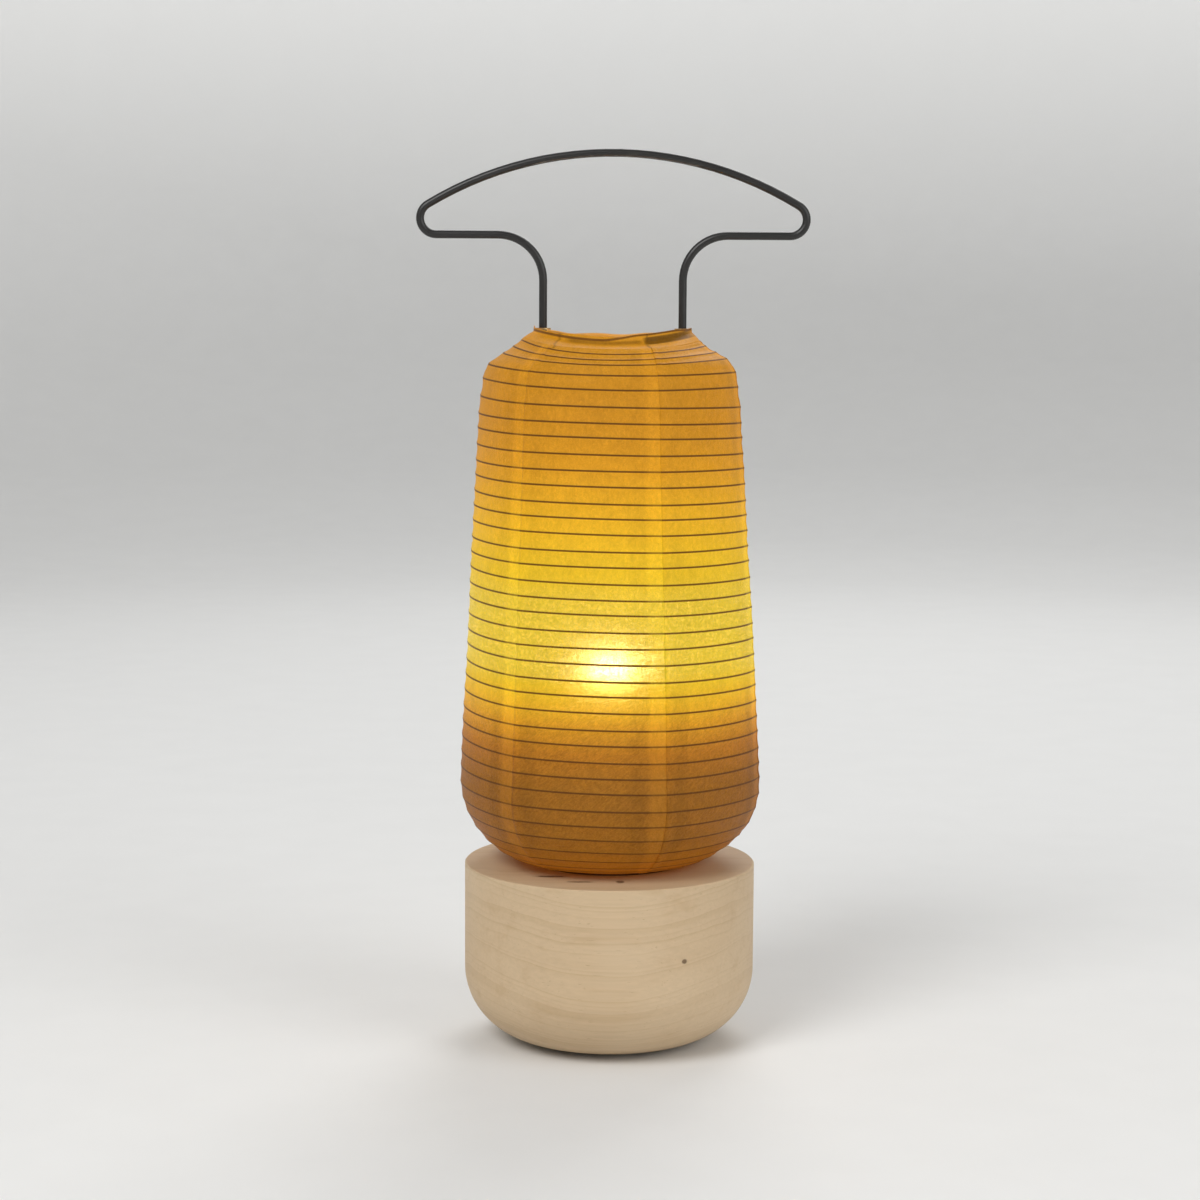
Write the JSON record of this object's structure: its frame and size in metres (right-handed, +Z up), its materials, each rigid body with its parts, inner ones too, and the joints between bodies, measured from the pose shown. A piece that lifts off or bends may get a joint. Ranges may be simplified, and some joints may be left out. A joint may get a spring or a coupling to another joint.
{
  "type": "andon lamp",
  "caption": "Small portable andon: turned wooden base, folding washi shade on a wound bamboo strip, bent steel wire handle, upright battery light inside.",
  "frame": {"origin": "on the floor, at the middle of the base's felt ring, which is the lamp's axis", "axes": "+Z up along the lamp's axis, +X to the lamp's right in the plane of the handle, -Y to the front"},
  "size_m": [0.1466, 0.1124, 0.3359],
  "materials": {
    "turned_wood": "fine-sanded and oiled pale softwood, with grain and small knots",
    "felt": "dense dark wool felt",
    "moulded_plate": "fine-textured matt moulding",
    "screw_steel": "zinc-plated",
    "circuit_board": "green solder mask",
    "chip_resin": "moulded resin",
    "contact_metal": "plated spring brass",
    "seal_rubber": "smooth",
    "carrier_plastic": "plain moulding",
    "cell_jacket": "plain shrink jacket",
    "knob_plastic": "ribbed pale moulding",
    "lead_jacket": "soft insulation",
    "post_plastic": "ivory, fine matt",
    "emitter_resin": "phosphor dome",
    "frosted_diffuser": "frosted, lit warm white",
    "sleeve_metal": "plain drawn brass",
    "black_steel": "satin black lacquer on steel wire",
    "bamboo": "split bamboo strip",
    "dark_hoop": "stained bamboo hoop",
    "washi": null
  },
  "bodies": {
    "base": {"bamboo_rib": "bamboo", "base_body": "turned_wood", "battery_pins": "contact_metal", "board_screws": "screw_steel", "bottom_plate": "moulded_plate", "diffuser": "frosted_diffuser", "driver_board": "circuit_board", "driver_chip": "chip_resin", "driver_coil": "chip_resin", "foot_eyelet_left": "sleeve_metal", "foot_eyelet_right": "sleeve_metal", "foot_felt": "felt", "foot_hoop": "dark_hoop", "led_board": "circuit_board", "led_emitter": "emitter_resin", "led_leads": "lead_jacket", "leg_sleeve_left": "sleeve_metal", "leg_sleeve_right": "sleeve_metal", "light_post": "post_plastic", "paper_panel_1": "washi", "paper_panel_2": "washi", "paper_panel_3": "washi", "paper_panel_4": "washi", "paper_panel_5": "washi", "paper_panel_6": "washi", "plate_screws": "screw_steel", "post_nut": "screw_steel", "post_washer": "screw_steel", "switch_body": "carrier_plastic", "switch_leads": "lead_jacket"},
    "handle": {"handle_wire": "black_steel"},
    "shade_rim": {"rim_hoop": "dark_hoop", "rim_eyelet_left": "sleeve_metal", "rim_eyelet_right": "sleeve_metal", "rim_binding": "washi"},
    "battery_capsule": {"battery_cap": "moulded_plate", "cap_seal": "seal_rubber", "cell_carrier": "carrier_plastic", "battery_cell_1": "cell_jacket", "battery_cell_2": "cell_jacket", "battery_cell_3": "cell_jacket", "lower_contacts": "contact_metal", "upper_contacts": "contact_metal"},
    "switch": {"switch_knob": "knob_plastic"}
  },
  "joints": [
    {"name": "shade_fold", "type": "slide", "parent": "base", "child": "shade_rim", "axis": [0, 0, -1], "range_m": [0, 0.16], "deforming": ["paper_panel_1", "paper_panel_2", "paper_panel_3", "paper_panel_4", "paper_panel_5", "paper_panel_6", "bamboo_rib"]},
    {"name": "handle_lift", "type": "slide", "parent": "base", "child": "handle", "axis": [0, 0, 1], "range_m": [0, 0.232]},
    {"name": "battery_capsule_pull", "type": "slide", "parent": "base", "child": "battery_capsule", "axis": [0, 0, -1], "range_m": [0, 0.056]},
    {"name": "switch_slide", "type": "slide", "parent": "base", "child": "switch", "axis": [1, 0, 0], "range_m": [-0.0035, 0]}
  ]
}
